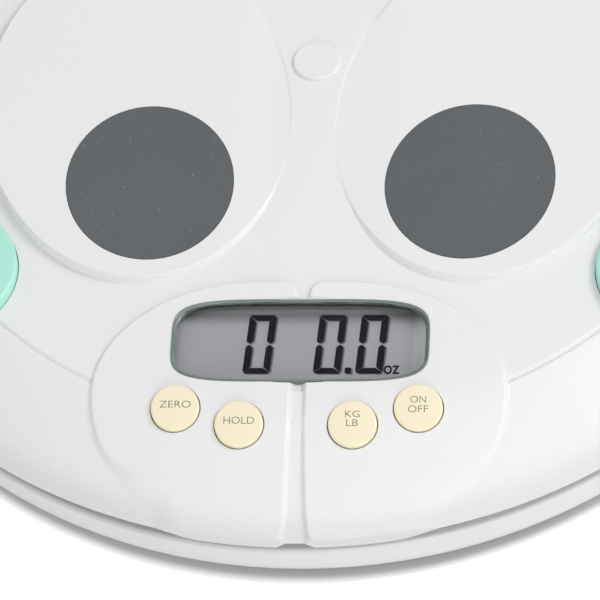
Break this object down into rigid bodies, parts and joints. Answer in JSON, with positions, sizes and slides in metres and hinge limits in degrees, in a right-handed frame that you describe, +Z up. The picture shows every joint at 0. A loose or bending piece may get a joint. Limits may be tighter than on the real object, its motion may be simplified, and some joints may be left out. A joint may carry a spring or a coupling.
{
  "type": "digital baby weighing scale",
  "caption": "Round low weighing scale with domed white cover, grey foot pads, tilted display, cream push buttons, green tray release buttons and a battery door underneath",
  "frame": {"origin": "on the floor plane, under the centre of the round body", "axes": "+Z up; -Y is the front, towards the display and the buttons; +X to the right of someone who faces the display"},
  "size_m": [0.339, 0.339, 0.0505],
  "materials": {
    "white_plastic": "smooth satin-gloss moulded ABS",
    "grey_rubber": "matte grey rubber with a fine grain",
    "clear_lens": "clear polished window",
    "dark_gasket": "dark green foam gasket",
    "lcd_glass": "grey reflective liquid crystal glass",
    "lcd_ink": "black liquid crystal segments",
    "inner_plastic": "natural ABS, unpainted",
    "contact_rubber": "soft silicone rubber",
    "circuit_board": "green solder resist",
    "chip_plastic": "black moulded epoxy",
    "screw_steel": "zinc plated steel",
    "cream_plastic": "satin cream moulded ABS",
    "mint_plastic": "satin pale green moulded ABS",
    "spring_steel": "bright spring steel",
    "base_plastic": "satin off-white moulded ABS",
    "cell_steel": "stamped spring steel plate",
    "sole_rubber": "grey non-slip rubber",
    "battery_wrap": "plain printed film",
    "red_wire": "flexible insulation",
    "black_wire": "flexible insulation"
  },
  "bodies": {
    "scale_body": {"top_cover": "white_plastic", "foot_pad_left": "grey_rubber", "foot_pad_right": "grey_rubber", "centre_cap": "white_plastic", "display_lens": "clear_lens", "display_gasket": "dark_gasket", "lcd_panel": "lcd_glass", "lcd_digits": "lcd_ink", "lcd_holder": "inner_plastic", "contact_strips": "contact_rubber", "main_board": "circuit_board", "board_chips": "chip_plastic", "board_screws": "screw_steel", "key_mat": "contact_rubber", "key_board": "circuit_board", "key_board_screws": "screw_steel", "tray_spring_left": "spring_steel", "tray_spring_right": "spring_steel", "base_housing": "base_plastic", "housing_screws": "screw_steel", "load_cell_front_left": "cell_steel", "load_cell_front_right": "cell_steel", "load_cell_back_left": "cell_steel", "load_cell_back_right": "cell_steel", "foot_front_left": "base_plastic", "foot_front_right": "base_plastic", "foot_back_left": "base_plastic", "foot_back_right": "base_plastic", "sole_front_left": "sole_rubber", "sole_front_right": "sole_rubber", "sole_back_left": "sole_rubber", "sole_back_right": "sole_rubber", "cell_screws": "screw_steel", "battery_1": "battery_wrap", "battery_2": "battery_wrap", "battery_3": "battery_wrap", "battery_4": "battery_wrap", "battery_springs": "spring_steel", "battery_plates": "spring_steel", "sensor_wires": "red_wire", "battery_wires": "black_wire"},
    "zero_key": {"zero_button": "cream_plastic"},
    "hold_key": {"hold_button": "cream_plastic"},
    "unit_key": {"unit_button": "cream_plastic"},
    "power_key": {"power_button": "cream_plastic"},
    "tray_release_left": {"tray_button_left": "mint_plastic", "tray_washer_left": "screw_steel"},
    "tray_release_right": {"tray_button_right": "mint_plastic", "tray_washer_right": "screw_steel"},
    "door": {"battery_door": "base_plastic"}
  },
  "joints": [
    {"name": "zero_press", "type": "slide", "parent": "scale_body", "child": "zero_key", "axis": [0, 0.2588, -0.9659], "range_m": [0, 0.001], "stiffness_N_per_m": 300},
    {"name": "hold_press", "type": "slide", "parent": "scale_body", "child": "hold_key", "axis": [0, 0.2588, -0.9659], "range_m": [0, 0.001], "stiffness_N_per_m": 300},
    {"name": "unit_press", "type": "slide", "parent": "scale_body", "child": "unit_key", "axis": [0, 0.2588, -0.9659], "range_m": [0, 0.001], "stiffness_N_per_m": 300},
    {"name": "power_press", "type": "slide", "parent": "scale_body", "child": "power_key", "axis": [0, 0.2588, -0.9659], "range_m": [0, 0.001], "stiffness_N_per_m": 300},
    {"name": "tray_press_left", "type": "slide", "parent": "scale_body", "child": "tray_release_left", "axis": [0, 0, -1], "range_m": [0, 0.003], "stiffness_N_per_m": 800, "deforming": ["tray_spring_left"]},
    {"name": "tray_press_right", "type": "slide", "parent": "scale_body", "child": "tray_release_right", "axis": [0, 0, -1], "range_m": [0, 0.003], "stiffness_N_per_m": 800, "deforming": ["tray_spring_right"]},
    {"name": "door_slide", "type": "slide", "parent": "scale_body", "child": "door", "axis": [0, 1, 0], "range_m": [0, 0.06]}
  ]
}
